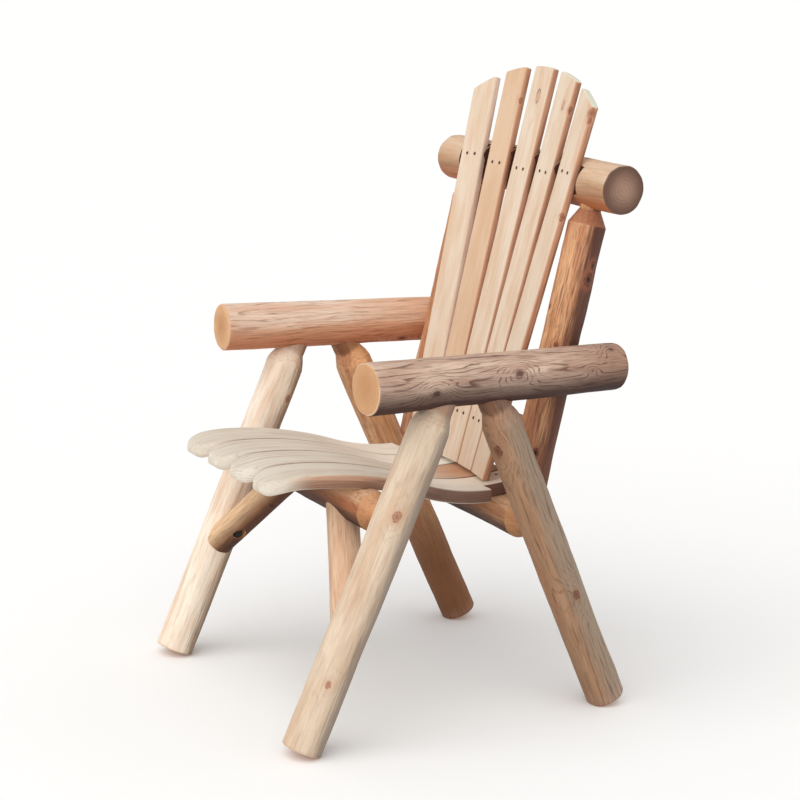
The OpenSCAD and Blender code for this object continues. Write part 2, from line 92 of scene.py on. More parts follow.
FRONT_FOOT, FRONT_TOP = np.array([274.0, -312.0, 0.0]), arm_point(-58.0)
REAR_FOOT, REAR_TOP = np.array([262.0, 315.0, 0.0]), arm_point(14.0)
ARM_FRONT, ARM_BACK = arm_point(ARM_FRONT_Y), arm_point(ARM_BACK_Y)
FRONT_RAIL_END = at_height(FRONT_FOOT, FRONT_TOP, FRONT_RAIL_Z)
REAR_RAIL_END = at_height(REAR_FOOT, REAR_TOP, REAR_RAIL_Z)
BRACE_LOW = at_height(FRONT_FOOT, FRONT_TOP, 203.0)
BRACE_HIGH = np.array([92.0, FRONT_RAIL_END[1], FRONT_RAIL_Z])
POST_FOOT = np.array([POST_X, REAR_RAIL_END[1], REAR_RAIL_Z])
POST_TOP = np.array([POST_X, TOP_RAIL_Y, TOP_RAIL_Z])
POST_AT_ARM = at_height(POST_FOOT, POST_TOP, ARM_Z)
BACK_TILT = math.atan2(POST_TOP[1] - POST_FOOT[1], POST_TOP[2] - POST_FOOT[2])
LOWER_RAIL_DROP = np.linalg.norm(POST_TOP - POST_FOOT) - LOWER_RAIL_RISE
SEAT_W = 4 * BOARD_W + 3 * BOARD_GAP

# Side view of the seat surface, as (y, z): centres of its three arcs and the distances along it at
# which they meet, counted forward from the bottom of the hollow
HOLLOW_C = np.array([HOLLOW_Y, HOLLOW_Z + HOLLOW_R])
SLOPE_DIR = np.array([math.sin(SEAT_SLOPE), math.cos(SEAT_SLOPE)])
CREST_C = HOLLOW_C - (HOLLOW_R + CREST_R) * SLOPE_DIR
ROLL_C = CREST_C + [0, CREST_R - ROLL_R]
BEND_S = HOLLOW_R * SEAT_SLOPE
CREST_S = BEND_S + CREST_R * SEAT_SLOPE
ROLL_S = CREST_S + ROLL_R * ROLL_ANGLE


def seat_top(y):
    """Height and slope angle of the seat surface at y, behind the crest."""
    if y > HOLLOW_C[0] - HOLLOW_R * SLOPE_DIR[0]:
        angle = math.asin((y - HOLLOW_C[0]) / HOLLOW_R)
        return HOLLOW_C[1] - HOLLOW_R * math.cos(angle), angle
    angle = -math.asin((y - CREST_C[0]) / CREST_R)
    return CREST_C[1] + CREST_R * math.cos(angle), angle


def rotation(axis, angle):
    return np.array(Matrix.Rotation(angle, 3, Vector(axis)))


def log_frame(a, b):
    """Columns are the log's own x, y and z. z runs from a to b and y leans towards world up."""
    z = unit(b - a)
    x = unit(np.cross([0, 0, 1], z))
    return np.stack([x, np.cross(z, x), z], 1)


BACK_ROT = rotation((1, 0, 0), -BACK_TILT)
SLAT_TILT = BACK_TILT + SLAT_LEAN
SLATS_ROT = rotation((1, 0, 0), -SLAT_TILT)
BACK_ORIGIN = np.array([0.0, TOP_RAIL_Y, TOP_RAIL_Z])
BACK_REACH = BACK_SET - SLAT_T
SLAT_FOOT_Y = (TOP_RAIL_Y - (TOP_RAIL_Z - HOLLOW_Z) * math.tan(SLAT_TILT)
               - BACK_REACH * math.cos(SLAT_TILT))
SLAT_DROP = (TOP_RAIL_Z + BACK_REACH * math.sin(SLAT_TILT) - seat_top(SLAT_FOOT_Y)[0]
             - SLAT_FOOT_GAP) / math.cos(SLAT_TILT)


def slat_turn(i):
    """Origin and rotation of slat i, from 1 to 5, in the leaning frame of the slats."""
    step = math.radians(math.hypot(FAN_STEP, DISH_STEP)) * (i - 3)
    turn = rotation(unit([0, FAN_STEP, -DISH_STEP]), step)
    return np.array([0, -BACK_SET, -FAN_APEX]) + turn @ np.array([0, 0, FAN_APEX]), turn


def slat_frame(i):
    """The same in the world: a slat's face is at y = 0 and its back at y = SLAT_T."""
    origin, turn = slat_turn(i)
    return BACK_ORIGIN + SLATS_ROT @ origin, SLATS_ROT @ turn


# Noise, lofts and meshes

def value_noise(rng, theta, v, around, cells):
    """Smooth noise of about -1 to 1, periodic in theta, with so many cells along v from 0 to 1."""
    grid = rng.uniform(-1, 1, (cells + 2, around))
    u = (theta / (2 * np.pi)) % 1.0 * around
    w = np.clip(v, 0, 1) * cells
    i, j = np.floor(u).astype(int), np.floor(w).astype(int)
    fu, fw = u - i, w - j
    fu, fw = fu * fu * (3 - 2 * fu), fw * fw * (3 - 2 * fw)
    i0, i1 = i % around, (i + 1) % around
    low = grid[j, i0] * (1 - fu) + grid[j, i1] * fu
    high = grid[j + 1, i0] * (1 - fu) + grid[j + 1, i1] * fu
    return low * (1 - fw) + high * fw


def smooth_min(a, b, k):
    h = np.clip(0.5 + 0.5 * (b - a) / k, 0, 1)
    return b * (1 - h) + a * h - k * h * (1 - h)


def wrap(angle):
    return (angle + np.pi) % (2 * np.pi) - np.pi


def cap(ring, count):
    """Smaller and smaller copies of an end ring, towards its middle."""
    middle = ring.mean(0)
    return [middle + (ring - middle) * (1 - (k + 1) / count) for k in range(count - 1)]


def skin(rings):
    """Vertices and faces of a closed mesh over rings of equal size, with a fan at each end."""
    m, n = len(rings), len(rings[0])
    verts = np.concatenate(list(rings) + [rings[0].mean(0)[None], rings[-1].mean(0)[None]])
    k = np.arange(n)
    a = (np.arange(m - 1)[:, None] * n + k[None, :]).ravel()
    b = (np.arange(m - 1)[:, None] * n + (k[None, :] + 1) % n).ravel()
    faces = np.stack([a, b, b + n, a + n], 1).tolist()
    last = (m - 1) * n
    faces += np.stack([(k + 1) % n, k, np.full(n, m * n)], 1).tolist()
    faces += np.stack([last + k, last + (k + 1) % n, np.full(n, m * n + 1)], 1).tolist()
    return verts, faces


def shade(mesh):
    """Smooth except over edges sharper than 38 degrees."""
    mesh.shade_smooth()
    mesh.set_sharp_from_angle(angle=math.radians(38))


def make_object(name, verts, faces):
    """Object from vertices in millimetres."""
    mesh = bpy.data.meshes.new(name)
    mesh.from_pydata((verts * MM).tolist(), [], faces)
    bm = bmesh.new()
    bm.from_mesh(mesh)
    bmesh.ops.recalc_face_normals(bm, faces=bm.faces)
    bm.to_mesh(mesh)
    bm.free()
    shade(mesh)
    obj = bpy.data.objects.new(name, mesh)
    bpy.context.scene.collection.objects.link(obj)
    return obj


def carve(obj, rings):
    """Cuts the closed shape over the rings out of obj."""
    tool = make_object(obj.name + "_cutter", *skin(rings))
    mod = obj.modifiers.new("cut", "BOOLEAN")
    mod.operation, mod.solver, mod.object = "DIFFERENCE", "EXACT", tool
    evaluated = obj.evaluated_get(bpy.context.evaluated_depsgraph_get())
    mesh = bpy.data.meshes.new_from_object(evaluated)
    obj.modifiers.clear()
    old, obj.data = obj.data, mesh
    bpy.data.meshes.remove(old)
    tool_mesh = tool.data
    bpy.data.objects.remove(tool)
    bpy.data.meshes.remove(tool_mesh)
    shade(mesh)


def round_bar(start, direction, diameter, length):
    """Rings of a round bar, as a cutter."""
    axis = unit(direction)
    side = unit(np.cross(axis, [0.3, 0.5, 0.8]))
    a = np.arange(48) / 48 * 2 * np.pi
    ring = start + (np.cos(a)[:, None] * side
                    + np.sin(a)[:, None] * np.cross(axis, side)) * diameter / 2
    return [ring, ring + length * axis]


def set_grain(obj, to_grain):
    """Stores each vertex's place in its straight, upright timber, in millimetres."""
    mesh = obj.data
    co = np.empty(len(mesh.vertices) * 3)
    mesh.vertices.foreach_get("co", co)
    layer = mesh.attributes.new("grain", "FLOAT_VECTOR", "POINT")
    layer.data.foreach_set("vector", to_grain(co.reshape(-1, 3) / MM).astype(np.float32).ravel())


# Shader nodes

def linear(*srgb):
    """Linear colour of an sRGB colour from 0 to 255."""
    parts = (c / 255 for c in srgb)
    return (*(c / 12.92 if c <= 0.04045 else ((c + 0.055) / 1.055) ** 2.4 for c in parts), 1.0)


class Net:
    """Short calls that add nodes to a material and link them."""

    def __init__(self, name):
        self.material = bpy.data.materials.new(name)
        self.material.use_nodes = True
        self.tree = self.material.node_tree
        self.shader = self.tree.nodes["Principled BSDF"]

    def put(self, socket, value):
        """Links a socket or sets its value. Colours are in sRGB, from 0 to 255."""
        if isinstance(value, bpy.types.NodeSocket):
            self.tree.links.new(value, socket)
        else:
            socket.default_value = linear(*value) if socket.type == "RGBA" else value

    def add(self, kind, values, **props):
        node = self.tree.nodes.new(kind)
        for key, value in props.items():
            setattr(node, key, value)
        for key, value in values.items():
            self.put(node.inputs[key], value)
        return node

    def math(self, operation, a, b=None):
        values = {0: a} if b is None else {0: a, 1: b}
        return self.add("ShaderNodeMath", values, operation=operation).outputs[0]

    def plus(self, a, b):
        return self.math("ADD", a, b)

    def minus(self, a, b):
        return self.math("SUBTRACT", a, b)

    def times(self, a, b):
        return self.math("MULTIPLY", a, b)

    def vector(self, operation, a, b=None):
        values = {0: a} if b is None else {0: a, 1: b}
        node = self.add("ShaderNodeVectorMath", values, operation=operation)
        return node.outputs["Value" if operation in ("LENGTH", "DOT_PRODUCT") else "Vector"]

    def dot(self, a, b):
        return self.vector("DOT_PRODUCT", a, b)

    def place_in_mm(self):
        """Place in the world, in millimetres."""
        place = self.vector("SCALE", self.add("ShaderNodeNewGeometry", {}).outputs["Position"])
        place.node.inputs["Scale"].default_value = 1 / MM
        return place

    def noise(self, place, across, along, detail=2.0, rough=0.5):
        """Noise from 0 to 1 in lumps of so many millimetres across and along the grain."""
        scaled = self.vector("MULTIPLY", place, (1 / across, 1 / across, 1 / along))
        return self.add("ShaderNodeTexNoise", {
            "Vector": scaled, "Scale": 1.0, "Detail": detail, "Roughness": rough}).outputs["Fac"]

    def step(self, value, low, high, top=1.0):
        """0 below low, top above high and smooth between. low may be the larger."""
        return self.add("ShaderNodeMapRange", {
            "Value": value, "From Min": low, "From Max": high, "To Min": 0.0, "To Max": top},
            interpolation_type="SMOOTHSTEP").outputs["Result"]

    def spread(self, value, width):
        """Noise from 0 to 1 turned into noise of so great a width round 0."""
        return self.times(self.minus(value, 0.5), width)

    def mix(self, factor, a, b, blend="MIX"):
        node = self.add("ShaderNodeMix", {}, data_type="RGBA", blend_type=blend)
        for key, value in ((0, factor), (6, a), (7, b)):
            self.put(node.inputs[key], value)
        return node.outputs[2]

    def bump(self, height, distance, strength):
        return self.add("ShaderNodeBump", {
            "Height": height, "Distance": distance, "Strength": strength}).outputs["Normal"]


# Share of its tone that a surface gives back, since the studio's light is a little over white
DIM = 0.93
# Noises of wood: the size of their lumps across and along the grain, then detail and roughness
GRAIN = {"wander": (44, 300), "ripple": (12, 150), "ragged": (4, 6), "uneven": (8, 45),
         "blotch": (30, 130, 3.0), "blush": (19, 150, 3.0, 0.6), "streak": (4, 80, 3.0, 0.6),
         "dash": (1.3, 45, 2.0, 0.6), "fibre": (0.8, 24, 3.0, 0.6), "frayed": (5, 40, 3.0, 0.6),
         "crack": (1.4, 5), "speck": (1.6, 1.6), "faint": (13, 13), "pore": (0.5, 3)}
# Kinds of knot: width as a share of length, and strengths of the halo, fill, rim and dark heart
KNOT_SQUEEZE = {"knot": 0.72, "oval": 0.42, "hole": 0.72, "pin": 0.8}
KNOT_PARTS = {"knot": (0.45, 0.8, 0.75, 0.3), "oval": (0.15, 0.3, 0.9, 0.0),
              "hole": (0.6, 0.95, 0.9, 1.0), "pin": (0.1, 0.9, 0.6, 0.9)}
HOLE_TONE = (34, 22, 18)


def sawn_edges(net, look, colour, facing, back, z):
    """The colour with a board's sawn edges over it, where they face sideways. Their tone is partly
    the sawn wood's own and partly painted shade of the gaps between boards. They darken with painted
    shade with back, the depth behind the board's face, and along the grain by the look's fades of
    the edge tone."""
    edge = net.mix(net.step(back, 3.0, 15.0), look["edge"], look["edge_back_shade"])
    for start, stop, fade_tone, strength in look["edge_shade_fades"]:
        edge = net.mix(net.step(z, start, stop, strength), edge, fade_tone)
    share = net.times(net.step(facing, 0.3, 1.0, 0.95), net.step(z, *look["edge_z"]))
    return net.mix(share, colour, edge)


def end_grain(net, look, grain, out, reach):
    """Tone of a sawn end. out is reach, the distance from the pith, with some wander added."""
    ring = net.math("FRACT", net.times(out, 1 / look["end_spacing"]))
    late = net.times(net.step(ring, 0.35, 0.85, look["end_ring"]), net.step(ring, 1.0, 0.88))
    faint = net.plus(net.step(grain("faint"), 0.35, 0.6, 0.75), 0.25)
    end = net.mix(net.step(out, 5.0, look["end_r"]), look["end_core"], look["end"])
    end = net.mix(net.times(late, faint), end, look["end_dark"])
    end = net.mix(net.step(grain("speck"), 0.5, 0.8, 0.25), end, look["end_dark"])
    rim = net.step(reach, look["end_r"] - 5.0, look["end_r"] - 2.5, look["rim_share"])
    return net.mix(rim, end, look["end_rim"])


def wood(name, look, seed, axis=None, knots=(), sides=(), pith=(0.0, 0.0), edge=None):
    """Wood in grain space, in the tones and strengths of a look. Growth rings round the pith are
    bent by wander and by knots, with blotches, streaks, fibres and dashes over them. Surfaces that
    face down get painted shade. axis is the grain's direction in the world, where sawn ends show.
    knots are (x, y, z, radius, kind), and sides are (angle, tone, strength) of light and shade
    painted round a log. edge is the way a board's sawn edges face."""
    net = Net(name)
    step, mix, plus, minus, times, dot = net.step, net.mix, net.plus, net.minus, net.times, net.dot
    rng = np.random.default_rng(seed)
    place = net.add("ShaderNodeAttribute", {}, attribute_name="grain").outputs["Vector"]
    normal = net.add("ShaderNodeNewGeometry", {}).outputs["Normal"]
    here = net.vector("ADD", place, tuple(rng.uniform(-900, 900, 3)))
    flat = net.vector("MULTIPLY", net.vector("SUBTRACT", place, (*pith, 0.0)), (1.0, 1.0, 0.0))
    reach = net.vector("LENGTH", flat)
    x, y, z = net.add("ShaderNodeSeparateXYZ", {0: place}).outputs

    def grain(kind):
        return net.noise(here, *GRAIN[kind])

    # Growth rings
    wander = net.spread(grain("wander"), look["wander"])
    radius = plus(reach, plus(wander, net.spread(grain("ripple"), look["ripple"])))
    if look["lean"]:
        radius = plus(radius, dot(flat, (0.0, look["lean"], 0.0)))
    ragged = net.spread(grain("ragged"), 0.6)
    spots = []
    for *centre, size, kind in knots:
        away = net.vector("MULTIPLY", net.vector("SUBTRACT", place, tuple(centre)),
                          (1.0, 1.0, KNOT_SQUEEZE[kind]))
        far = plus(times(net.vector("LENGTH", away), 1 / size), ragged)
        spots.append((far, kind))
        near = net.math("EXPONENT", times(times(far, far), -look["swirl_fall"]))
        radius = minus(radius, times(near, size * look["swirl"]))
    ring = net.math("FRACT", times(radius, 1 / look["spacing"]))
    late = times(step(ring, look["thin"], 0.9), step(ring, 1.0, 0.94))
    late = times(late, plus(step(grain("uneven"), 0.42, 0.58, 0.85), 0.15))

    # Stains and tone changes along the log, some of them painted shade or light, light and shade
    # painted round it, and a board's edges, partly painted shade
    blush, streak, dash, fibre = (grain(kind) for kind in ("blush", "streak", "dash", "fibre"))
    colour = mix(step(grain("blotch"), 0.36, 0.64), look["pale"], look["mid"])
    colour = mix(step(blush, 0.46, 0.66, look["blush"]), colour, look["warm"])
    # Painted light and shade: the side of a log turned towards each angle takes its tone
    for angle, side_light_shade_tone, strength in sides:
        toward = (math.cos(math.radians(angle)), math.sin(math.radians(angle)), 0.0)
        around = plus(dot(net.vector("NORMALIZE", flat), toward), net.spread(streak, 0.9))
        colour = mix(step(around, 0.15, 0.75, strength), colour, side_light_shade_tone)
    # Tones along the grain: the looks' fades, some of them painted shade or light
    for start, stop, fade_tone, strength in look["fades"]:
        uneven_z = plus(z, net.spread(blush, 0.8 * abs(stop - start)))
        colour = mix(step(uneven_z, start, stop, strength), colour, fade_tone)
    if edge is not None:
        facing = net.math("ABSOLUTE", dot(normal, edge))
        colour = sawn_edges(net, look, colour, facing, plus(y, net.spread(streak, 26)), z)

    # Lines and fibres
    colour = mix(step(streak, 0.5, 0.66, look["streak"]), colour, look["dark"])
    colour = mix(times(late, look["ring"]), colour, look["dark"])
    colour = mix(step(dash, 0.54, 0.64, look["dash"]), colour, look["dark"])
    level = plus(times(fibre, look["fibre"]), DIM - look["fibre"] / 2)
    grey = net.add("ShaderNodeCombineColor", {0: level, 1: level, 2: level}).outputs[0]
    colour = mix(1.0, colour, grey, "MULTIPLY")

    # Knots
    depth = times(late, -0.6)
    crack = grain("crack")
    for far, kind in spots:
        halo, fill, rim, heart = KNOT_PARTS[kind]
        colour = mix(step(far, 2.7, 1.0, halo), colour, look["halo"])
        colour = mix(step(far, 1.1, 0.75, fill), colour, look["knot"])
        outline = times(step(far, 1.3, 1.08), step(far, 0.75, 0.95))
        broken = times(outline, step(crack, 0.35, 0.6, rim))
        colour = mix(broken, colour, look["knot_rim"])
        colour = mix(step(far, 0.66, 0.3, heart), colour, HOLE_TONE)
        depth = minus(depth, outline)

    # Painted shade: surfaces that face down are darkened by the look's under tone
    below = dot(normal, (0.0, 0.0, -1.0))
    colour = mix(step(below, -0.55, 0.8, look["under"]), colour, look["under_shade_tone"], "MULTIPLY")

    # Shoulder cones, sawn ends and painted shade on the seats cut into a rail
    if axis is not None:
        facing = net.math("ABSOLUTE", dot(normal, tuple(axis)))
        cone = times(step(facing, 0.14, 0.4, look["cone_share"]), step(facing, 0.8, 0.7))
        frayed = step(grain("frayed"), 0.46, 0.66, 0.24)
        colour = mix(cone, colour, mix(frayed, look["cone"], look["dark"]))
        if "end_z" in look:
            low, high = look["end_z"]
            at_end = net.math("MAXIMUM", step(z, low + 0.4, low - 0.4),
                              step(z, high - 0.4, high + 0.4))
        else:
            at_end = step(facing, 0.4, 0.65)
        out = plus(reach, times(wander, 0.2))
        colour = mix(at_end, colour, end_grain(net, look, grain, out, reach))
        # Painted shade: the seats cut into a rail between the slats take the look's cut tone
        if "cut" in look:
            # This log lies along X, so its own x and y are the world's y and z
            outward = net.add("ShaderNodeCombineXYZ", {1: x, 2: y}).outputs[0]
            convex = dot(normal, net.vector("NORMALIZE", outward))
            sunk = net.math("MAXIMUM", step(reach, look["end_r"] - 3.0, look["end_r"] - 5.0),
                            step(convex, 0.94, 0.86))
            colour = mix(times(sunk, step(at_end, 0.5, 0.1)), colour, look["cut"])

    height = plus(plus(depth, times(fibre, 0.9)), times(streak, 0.8))
    height = minus(height, step(dash, 0.54, 0.64, 0.5))
    height = plus(height, times(grain("pore"), 0.35))
    net.put(net.shader.inputs["Base Color"], colour)
    net.put(net.shader.inputs["Normal"], net.bump(height, look["relief"] * MM, 1.0))
    net.put(net.shader.inputs["Roughness"], plus(times(fibre, 0.18), look["rough"]))
    net.shader.inputs["Specular IOR Level"].default_value = 0.35
    return net.material


def metal(name, base, other, size, rough, metallic):
    """Blotched metal that lies in world space, since fasteners have no grain."""
    net = Net(name)
    place = net.place_in_mm()
    blotch = net.noise(place, size, size, 3.0, 0.6)
    fine = net.noise(place, size / 5, size / 5, 2.0)
    net.put(net.shader.inputs["Base Color"], net.mix(net.step(blotch, 0.4, 0.62), base, other))
    net.put(net.shader.inputs["Roughness"], net.plus(net.times(blotch, 0.3), rough))
    net.put(net.shader.inputs["Normal"], net.bump(fine, 0.1 * MM, 0.6))
    net.shader.inputs["Metallic"].default_value = metallic
    return net.material


# Logs

STEP_ALONG, STEP_ROUND = 3.4, 2.4
# Facets of the draw-knife: how many, and their mean depth and its change as shares of the radius
FACETS, FACET_DEPTH, FACET_CHANGE = 9, 0.009, 0.015
# Waves of a log: height, number round it and length
WAVES = ((0.9, 3, 170), (0.5, 5, 70), (0.2, 11, 20))
# A leg above its shoulder's start: distance, radius past the leg's and share of the hand work
LEG_SHOULDER_SHAPE = ((-22, 0.0, 1), (-4, 0.6, 1.6), (5, -1.2, 2.0), (13, -4.2, 1.6))


def fill_in(outline):
    """Rings along an outline of (z, radius, work), where work is the share of the hand work."""
    rows = [outline[0]]
    for (z0, r0, w0), (z1, r1, w1) in zip(outline, outline[1:]):
        step = STEP_ALONG if max(w0, w1) > 0 else 4 * STEP_ALONG
        n = math.ceil(math.hypot(z1 - z0, r1 - r0) / step)
        rows += [(z0 + (z1 - z0) * k / n, r0 + (r1 - r0) * k / n, w0 + (w1 - w0) * k / n)
                 for k in range(1, n + 1)]
    return np.array(rows)


def hand_work(rng, theta, z, radius, length, knots, rough):
    """Radius of a log after the draw-knife: soft facets, waves, and lumps round the knots."""
    v = z / length

    def cells(size):
        return max(2, round(length / size))

    worked = radius
    for k in range(FACETS):
        centre = 2 * np.pi * (k + rng.uniform(-0.3, 0.3)) / FACETS
        centre = centre + 0.15 * value_noise(rng, 0.0, v, 1, cells(160))
        depth = radius * (FACET_DEPTH + FACET_CHANGE * value_noise(rng, 0.0, v, 1, cells(110)))
        plane = (radius - np.clip(depth, -0.2, None)) / np.cos(np.clip(wrap(theta - centre), -1, 1))
        worked = smooth_min(worked, plane, 1.1)
    wave = sum(height * value_noise(rng, theta, v, around, cells(size))
               for height, around, size in WAVES)
    worked = worked + rough * (wave - 0.8)
    for knot_z, angle, size, lift, _ in knots:
        away = np.hypot(radius * wrap(theta - math.radians(angle)), (z - knot_z) / 1.7)
        worked = worked + lift * np.exp(-(away / (1.2 * size + 8)) ** 2)
        worked = worked - 0.5 * abs(lift) * np.exp(-(away / (0.6 * size)) ** 2)
    return worked


def finish_piece(obj, node, material):
    obj.data.materials.append(material)
    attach(obj, "root")
    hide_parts(node)


def build_log(node, a, b, outline, ends=None, leg=False, cutters=()):
    """Peeled log that stands for a CAD node, on the axis from a to b. ends gives both ends of each
    of its lines. A leg stands on the floor and has painted shadow where its neck meets the armrest."""
    look, seed, rough, knots, sides = LOGS[node]
    rot = log_frame(a, b)
    rng = np.random.default_rng(seed)
    rows = fill_in(outline)
    widest = rows[:, 1].max()
    count = round(2 * np.pi * widest / STEP_ROUND)
    theta, z = np.meshgrid(np.arange(count) / count * 2 * np.pi, rows[:, 0])
    radius, work = rows[:, 1][:, None], rows[:, 2][:, None]
    if ends is not None:
        low, high = ends(a, rot, theta[0])
        z = low + (high - low) * z / rows[-1, 0]
    worked = hand_work(rng, theta, z, radius, rows[-1, 0], knots, rough)
    r = radius + work * (worked - radius)
    x, y = r * np.cos(theta), r * np.sin(theta)
    points = a + x[..., None] * rot[:, 0] + y[..., None] * rot[:, 1] + z[..., None] * rot[:, 2]
    if leg:
        points[..., 2] = np.maximum(points[..., 2], 0)
        neck = np.linalg.norm(b - a) - leg_neck(a, b)[0]
        # Painted shadow round the neck, under the armrest
        look = dict(look, fades=look["fades"] + ((neck - 5, neck + 9, look["neck"], 0.6),))
    rings = list(points)
    obj = make_object(node + "_wood", *skin(cap(rings[0], 6)[::-1] + rings + cap(rings[-1], 6)))
    for cutter in cutters:
        carve(obj, cutter)
    set_grain(obj, lambda p: (p - a) @ rot)
    spots = [(widest * math.cos(math.radians(t)), widest * math.sin(math.radians(t)), k, s, kind)
             for k, t, s, _, kind in knots]
    look = dict(look, end_z=(rows[1, 0], rows[-2, 0]), end_r=widest)
    finish_piece(obj, node, wood(node + "_look", look, seed, rot[:, 2], spots, sides))


def sawn(radius, z, inward):
    """Outline of a sawn end, from its face inward."""
    return [(z, radius - END_EASE, 0.8), (z + inward * 1.2, radius - 0.9, 1.0),
            (z + inward * END_EASE, radius, 1.0)]


def tenoned(length, radius, neck_low, neck_high):
    """Outline of a log with a shoulder cone and a tenon at both ends."""
    low, high = neck_low, length - neck_high
    return [(low - TENON_LEN, TENON_R, 0), (low, TENON_R, 0), (low + SHOULDER, radius, 1),
            (high - SHOULDER, radius, 1), (high, TENON_R, 0), (high + TENON_LEN, TENON_R, 0)]


def leg_neck(foot, top):
    """Distance of a leg's neck from its top, and the leg's tilt."""
    tilt = math.acos(unit(top - foot)[2])
    return (ARM_R + LEG_TENON_R * math.sin(tilt)) / math.cos(tilt) - LEG_LET_IN, tilt


def leg_outline(foot, top):
    length = np.linalg.norm(top - foot)
    neck, tilt = leg_neck(foot, top)
    foot_end = (LEG_R * math.sin(tilt) - FOOT_FLAT) / math.cos(tilt)
    end = length - neck
    start = end - LEG_SHOULDER
    return (sawn(LEG_R, foot_end, 1)
            + [(start + z, LEG_R + more, work) for z, more, work in LEG_SHOULDER_SHAPE]
            + [(start + 19, LEG_TENON_R + 2.4, 1.0), (end, LEG_TENON_R, 0.4),
               (end + 4, LEG_TENON_R, 0), (end + LEG_TENON_LEN, LEG_TENON_R, 0)])


def box_rings(origin, rot, low, high):
    """Two rings of a box between its low and high corners in a frame, as a cutter."""
    (x0, y0, z0), (x1, y1, z1) = low, high
    corners = [(x0, y0), (x1, y0), (x1, y1), (x0, y1)]
    return [np.array([origin + rot @ np.array([x, y, z]) for x, y in corners]) for z in (z0, z1)]


def board_bed(y):
    """Cutter that clears a seat rail for the seat boards."""
    z, angle = seat_top(y)
    half = SEAT_W / 2 + BOARD_GAP
    return box_rings(np.array([0, y, z]), rotation((1, 0, 0), angle),
                     (-half, -BED_HALF, -BOARD_T - BED_GAP), (half, BED_HALF, PAST))


def slat_seats(z, radius):
    """Cutters that clear a rail for the five slats, at a distance z above the top rail."""
    cutters = []
    for i in range(1, 6):
        width = (z + FAN_APEX) * math.tan(math.radians(FAN_STEP)) + (1 if 1 < i < 5 else 0)
        origin, rot = slat_frame(i)
        cutters.append(box_rings(origin, rot, (-width / 2, SLAT_T - 2 * radius, z - 2 * radius),
                                 (width / 2, SLAT_T, z + 2 * radius)))
    return cutters


def on_cylinder(point, axis, radius, start, along, sign):
    """Distances from the starts along a direction to a cylinder: its near (-1) or far (1) side."""
    axis = unit(axis)
    offset = start - point
    offset = offset - (offset @ axis)[:, None] * axis
    step = along - (along @ axis) * axis
    a, b, c = step @ step, offset @ step, (offset ** 2).sum(1) - radius ** 2
    return (-b + sign * np.sqrt(b * b - a * c)) / a


def brace_ends(side):
    """Coped ends of a brace, where its lines leave the leg and meet the front rail."""
    def ends(a, rot, theta):
        spoke = np.cos(theta)[:, None] * rot[:, 0] + np.sin(theta)[:, None] * rot[:, 1]
        start = a + BRACE_R * spoke
        low = on_cylinder(FRONT_FOOT * side, (FRONT_TOP - FRONT_FOOT) * side, LEG_R - COPE_SINK,
                          start, rot[:, 2], 1)
        high = on_cylinder(BRACE_HIGH * side, np.array([1.0, 0, 0]), RAIL_R - COPE_SINK,
                           start, rot[:, 2], -1)
        return low, high
    return ends


def brace_counterbore(side):
    """Cutter of a brace's lower counterbore. The upper one is plugged flush."""
    up, leg = unit(BRACE_HIGH - BRACE_LOW), unit(FRONT_TOP - FRONT_FOOT)
    across = unit(up - (up @ leg) * leg)
    sink = BRACE_R / np.linalg.norm(np.cross(across, up))
    start = BRACE_LOW + LAG_SET * up + (sink - COUNTERBORE) * across
    return round_bar(start * side, across * side, COUNTERBORE_D, PAST)


# Boards

BOARD_STEP = 4.0


def rounded(x0, x1, y0, y1, corner, across, thick, turns=4):
    """Points round a rectangle with rounded corners, as many whatever its size."""
    corner = min(corner, 0.49 * (x1 - x0), 0.49 * (y1 - y0))
    arcs = []
    for cx, cy, start in ((x1 - corner, y0 + corner, -90), (x1 - corner, y1 - corner, 0),
                          (x0 + corner, y1 - corner, 90), (x0 + corner, y0 + corner, 180)):
        a = np.radians(start + 90 * np.arange(turns + 1) / turns)
        arcs.append(np.stack([cx + corner * np.cos(a), cy + corner * np.sin(a)], 1))
    loop = []
    for k, steps in enumerate((thick, across, thick, across)):
        t = np.arange(1, steps)[:, None] / steps
        loop += [arcs[k], arcs[k][-1] * (1 - t) + arcs[(k + 1) % 4][0] * t]
    return np.concatenate(loop)


def slat_top(i, x, y):
    """Height at which the sawn arc ends slat i, over its points (x, y)."""
    origin, turn = slat_turn(i)
    c = origin + x[:, None] * turn[:, 0] + y[:, None] * turn[:, 1]
    u, k = turn[:, 2], SLAT_RISE - TIP_ARC_R
    a = u[0] ** 2 + u[2] ** 2
    b = c[:, 0] * u[0] + (c[:, 2] - k) * u[2]
    d = c[:, 0] ** 2 + (c[:, 2] - k) ** 2 - TIP_ARC_R ** 2
    return (-b + np.sqrt(b * b - a * d)) / a


# How far a slat's rounded top narrows and thins it, and how far down the rounding starts
EASE_X, EASE_Y, EASE_Z = 5.0, 1.6, 4.0
# A slat's end grain counts as far inside its log, so no rim shows
SLAT_END_R = 400.0
# Rounding of a seat board's edges along its length and at its nose
BOARD_EDGE, NOSE_EDGE = 3.5, 10.0
# Shares of its length at which the rounding starts to grow and over which it does
NOSE_FROM, NOSE_OVER = 0.76, 0.2


